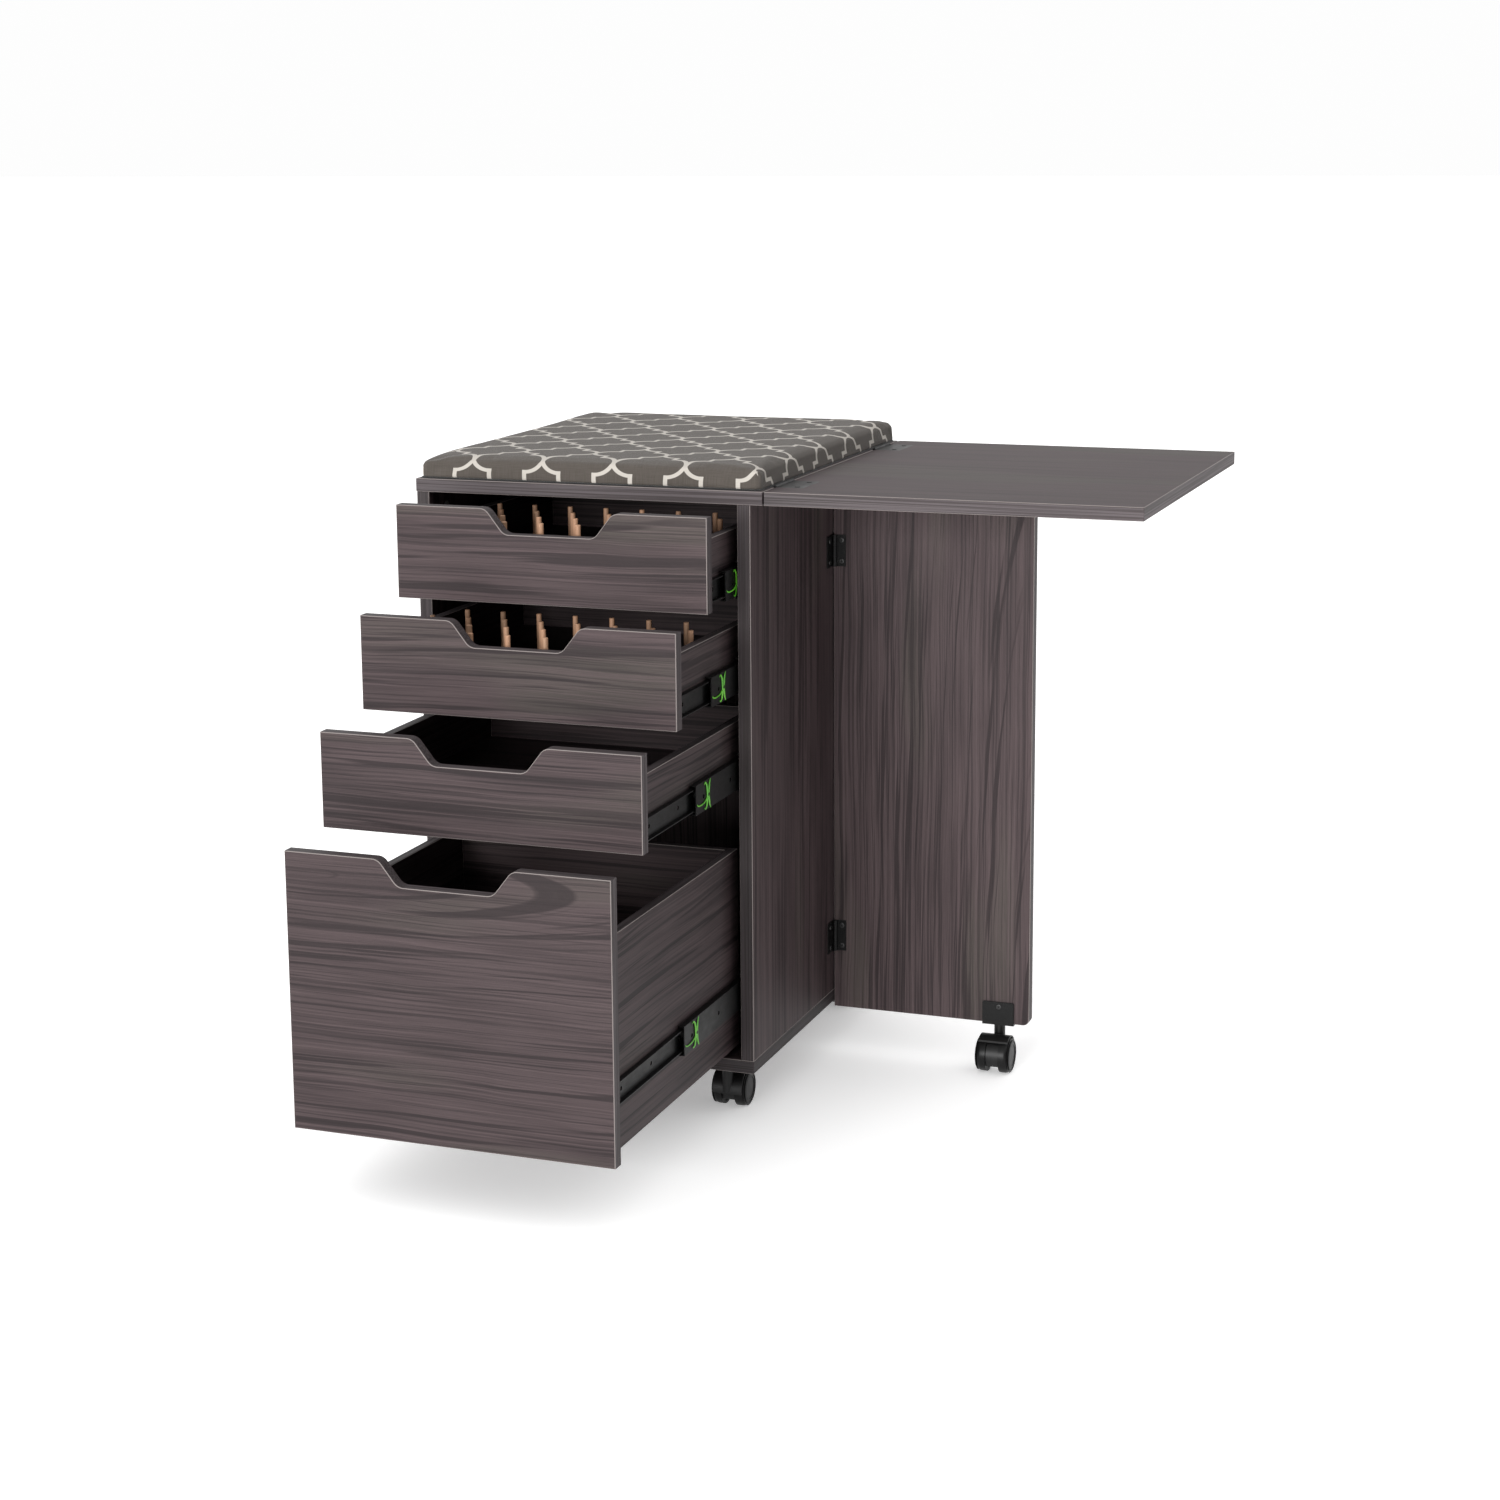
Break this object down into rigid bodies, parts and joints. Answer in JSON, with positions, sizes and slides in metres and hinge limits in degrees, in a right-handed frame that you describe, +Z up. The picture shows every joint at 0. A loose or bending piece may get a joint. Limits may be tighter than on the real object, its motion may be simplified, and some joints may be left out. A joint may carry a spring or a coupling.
{
  "type": "rolling sewing table",
  "caption": "Rolling sewing cabinet with pull-out drawers, thread pegs, a fold-up leaf on a swinging gate leg and a lift-off padded top.",
  "frame": {"origin": "on the floor, under the middle of the object's extents in plan, with the drawers open and the leaf out as modelled", "axes": "+Z up, +X towards the leaf, -Y towards the drawer fronts"},
  "size_m": [0.89, 0.921, 0.8],
  "materials": {
    "laminate": "grey-brown wood-grain laminate, satin",
    "box_laminate": "darker grey-brown laminate, satin",
    "peg_wood": "bare turned wood",
    "green_plastic": "moulded green plastic",
    "black_steel": "black plated steel",
    "cam_metal": "die-cast cam lock",
    "black_plastic": "moulded black plastic",
    "black_cloth": "black dust cloth over a thin board",
    "pad_fabric": "taupe cotton with an off-white lattice print"
  },
  "bodies": {
    "cabinet": {"side_panel_left": "laminate", "side_panel_right": "laminate", "bottom_panel": "laminate", "back_panel": "box_laminate", "top_panel": "laminate", "cam_fasteners": "cam_metal", "slide_outer_members": "black_steel", "gate_hinge_fixed_plates": "black_steel", "leaf_hinge_fixed_plates": "black_steel", "hinge_pins": "black_steel", "caster_plates": "black_steel"},
    "drawer_1": {"drawer_1_front": "laminate", "drawer_1_box_sides": "box_laminate", "drawer_1_box_back": "box_laminate", "drawer_1_box_bottom": "box_laminate", "drawer_1_slide_inner": "black_steel", "drawer_1_peg_board": "box_laminate", "drawer_1_pegs": "peg_wood"},
    "drawer_1_middle_slides": {"drawer_1_slide_middle": "black_steel"},
    "drawer_1_levers": {"drawer_1_release_levers": "green_plastic"},
    "drawer_2": {"drawer_2_front": "laminate", "drawer_2_box_sides": "box_laminate", "drawer_2_box_back": "box_laminate", "drawer_2_box_bottom": "box_laminate", "drawer_2_slide_inner": "black_steel", "drawer_2_peg_board": "box_laminate", "drawer_2_pegs": "peg_wood"},
    "drawer_2_middle_slides": {"drawer_2_slide_middle": "black_steel"},
    "drawer_2_levers": {"drawer_2_release_levers": "green_plastic"},
    "drawer_3": {"drawer_3_front": "laminate", "drawer_3_box_sides": "box_laminate", "drawer_3_box_back": "box_laminate", "drawer_3_box_bottom": "box_laminate", "drawer_3_slide_inner": "black_steel"},
    "drawer_3_middle_slides": {"drawer_3_slide_middle": "black_steel"},
    "drawer_3_levers": {"drawer_3_release_levers": "green_plastic"},
    "drawer_4": {"drawer_4_front": "laminate", "drawer_4_box_sides": "box_laminate", "drawer_4_box_back": "box_laminate", "drawer_4_box_bottom": "box_laminate", "drawer_4_slide_inner": "black_steel"},
    "drawer_4_middle_slides": {"drawer_4_slide_middle": "black_steel"},
    "drawer_4_levers": {"drawer_4_release_levers": "green_plastic"},
    "leaf": {"leaf_panel": "laminate", "leaf_hinge_moving_plates": "black_steel"},
    "gate": {"gate_panel": "laminate", "gate_hinge_moving_plates": "black_steel", "gate_caster_bracket": "black_steel"},
    "pad": {"pad_base": "black_cloth", "pad_cushion": "pad_fabric"},
    "caster_front_left": {"caster_front_left_fork": "black_plastic"},
    "caster_front_left_twin_wheels": {"caster_front_left_wheels": "black_plastic"},
    "caster_front_right": {"caster_front_right_fork": "black_plastic"},
    "caster_front_right_twin_wheels": {"caster_front_right_wheels": "black_plastic"},
    "caster_rear_left": {"caster_rear_left_fork": "black_plastic"},
    "caster_rear_left_twin_wheels": {"caster_rear_left_wheels": "black_plastic"},
    "caster_rear_right": {"caster_rear_right_fork": "black_plastic"},
    "caster_rear_right_twin_wheels": {"caster_rear_right_wheels": "black_plastic"},
    "caster_gate": {"caster_gate_fork": "black_plastic"},
    "caster_gate_twin_wheels": {"caster_gate_wheels": "black_plastic"}
  },
  "joints": [
    {"name": "drawer_1_slide", "type": "slide", "parent": "cabinet", "child": "drawer_1", "axis": [0, -1, 0], "range_m": [-0.093, 0.303]},
    {"name": "drawer_1_middle_slide", "type": "slide", "parent": "cabinet", "child": "drawer_1_middle_slides", "axis": [0, -1, 0], "range_m": [-0.0465, 0.1515]},
    {"name": "drawer_1_release", "type": "hinge", "parent": "drawer_1_middle_slides", "child": "drawer_1_levers", "pos_m": [-0.23, -0.066, 0.6635], "axis": [1, 0, 0], "range_deg": [-6, 6], "stiffness_Nm_per_rad": 0.1},
    {"name": "drawer_2_slide", "type": "slide", "parent": "cabinet", "child": "drawer_2", "axis": [0, -1, 0], "range_m": [-0.192, 0.204]},
    {"name": "drawer_2_middle_slide", "type": "slide", "parent": "cabinet", "child": "drawer_2_middle_slides", "axis": [0, -1, 0], "range_m": [-0.096, 0.102]},
    {"name": "drawer_2_release", "type": "hinge", "parent": "drawer_2_middle_slides", "child": "drawer_2_levers", "pos_m": [-0.23, -0.1155, 0.548], "axis": [1, 0, 0], "range_deg": [-6, 6], "stiffness_Nm_per_rad": 0.1},
    {"name": "drawer_3_slide", "type": "slide", "parent": "cabinet", "child": "drawer_3", "axis": [0, -1, 0], "range_m": [-0.297, 0.099]},
    {"name": "drawer_3_middle_slide", "type": "slide", "parent": "cabinet", "child": "drawer_3_middle_slides", "axis": [0, -1, 0], "range_m": [-0.1485, 0.0495]},
    {"name": "drawer_3_release", "type": "hinge", "parent": "drawer_3_middle_slides", "child": "drawer_3_levers", "pos_m": [-0.23, -0.168, 0.4325], "axis": [1, 0, 0], "range_deg": [-6, 6], "stiffness_Nm_per_rad": 0.1},
    {"name": "drawer_4_slide", "type": "slide", "parent": "cabinet", "child": "drawer_4", "axis": [0, -1, 0], "range_m": [-0.388, 0.008]},
    {"name": "drawer_4_middle_slide", "type": "slide", "parent": "cabinet", "child": "drawer_4_middle_slides", "axis": [0, -1, 0], "range_m": [-0.194, 0.004]},
    {"name": "drawer_4_release", "type": "hinge", "parent": "drawer_4_middle_slides", "child": "drawer_4_levers", "pos_m": [-0.23, -0.2135, 0.161], "axis": [1, 0, 0], "range_deg": [-6, 6], "stiffness_Nm_per_rad": 0.1},
    {"name": "leaf_fold", "type": "hinge", "parent": "cabinet", "child": "leaf", "pos_m": [0, 0, 0.771], "axis": [0, -1, 0], "range_deg": [0, 90]},
    {"name": "gate_fold", "type": "hinge", "parent": "cabinet", "child": "gate", "pos_m": [-0.0127, 0.2292, 0.4065], "axis": [0, 0, 1], "range_deg": [-90, 0]},
    {"name": "pad_lift", "type": "slide", "parent": "cabinet", "child": "pad", "axis": [0, 0, 1], "range_m": [0, 0.12]},
    {"name": "caster_front_left_swivel", "type": "hinge", "parent": "cabinet", "child": "caster_front_left", "pos_m": [-0.392, -0.0225, 0.066], "axis": [0, 0, 1], "continuous": true},
    {"name": "caster_front_left_roll", "type": "hinge", "parent": "caster_front_left", "child": "caster_front_left_twin_wheels", "pos_m": [-0.392, -0.0025, 0.0225], "axis": [1, 0, 0], "continuous": true},
    {"name": "caster_front_right_swivel", "type": "hinge", "parent": "cabinet", "child": "caster_front_right", "pos_m": [-0.068, -0.0225, 0.066], "axis": [0, 0, 1], "continuous": true},
    {"name": "caster_front_right_roll", "type": "hinge", "parent": "caster_front_right", "child": "caster_front_right_twin_wheels", "pos_m": [-0.068, -0.0025, 0.0225], "axis": [1, 0, 0], "continuous": true},
    {"name": "caster_rear_left_swivel", "type": "hinge", "parent": "cabinet", "child": "caster_rear_left", "pos_m": [-0.392, 0.4075, 0.066], "axis": [0, 0, 1], "continuous": true},
    {"name": "caster_rear_left_roll", "type": "hinge", "parent": "caster_rear_left", "child": "caster_rear_left_twin_wheels", "pos_m": [-0.392, 0.4275, 0.0225], "axis": [1, 0, 0], "continuous": true},
    {"name": "caster_rear_right_swivel", "type": "hinge", "parent": "cabinet", "child": "caster_rear_right", "pos_m": [-0.068, 0.4075, 0.066], "axis": [0, 0, 1], "continuous": true},
    {"name": "caster_rear_right_roll", "type": "hinge", "parent": "caster_rear_right", "child": "caster_rear_right_twin_wheels", "pos_m": [-0.068, 0.4275, 0.0225], "axis": [1, 0, 0], "continuous": true},
    {"name": "caster_gate_swivel", "type": "hinge", "parent": "gate", "child": "caster_gate", "pos_m": [0.204, 0.2405, 0.066], "axis": [0, 0, 1], "continuous": true},
    {"name": "caster_gate_roll", "type": "hinge", "parent": "caster_gate", "child": "caster_gate_twin_wheels", "pos_m": [0.204, 0.2205, 0.0225], "axis": [1, 0, 0], "continuous": true}
  ],
  "couplings": [
    {"joint": "drawer_1_middle_slide", "follows": "drawer_1_slide", "ratio": 0.5},
    {"joint": "drawer_2_middle_slide", "follows": "drawer_2_slide", "ratio": 0.5},
    {"joint": "drawer_3_middle_slide", "follows": "drawer_3_slide", "ratio": 0.5},
    {"joint": "drawer_4_middle_slide", "follows": "drawer_4_slide", "ratio": 0.5}
  ]
}
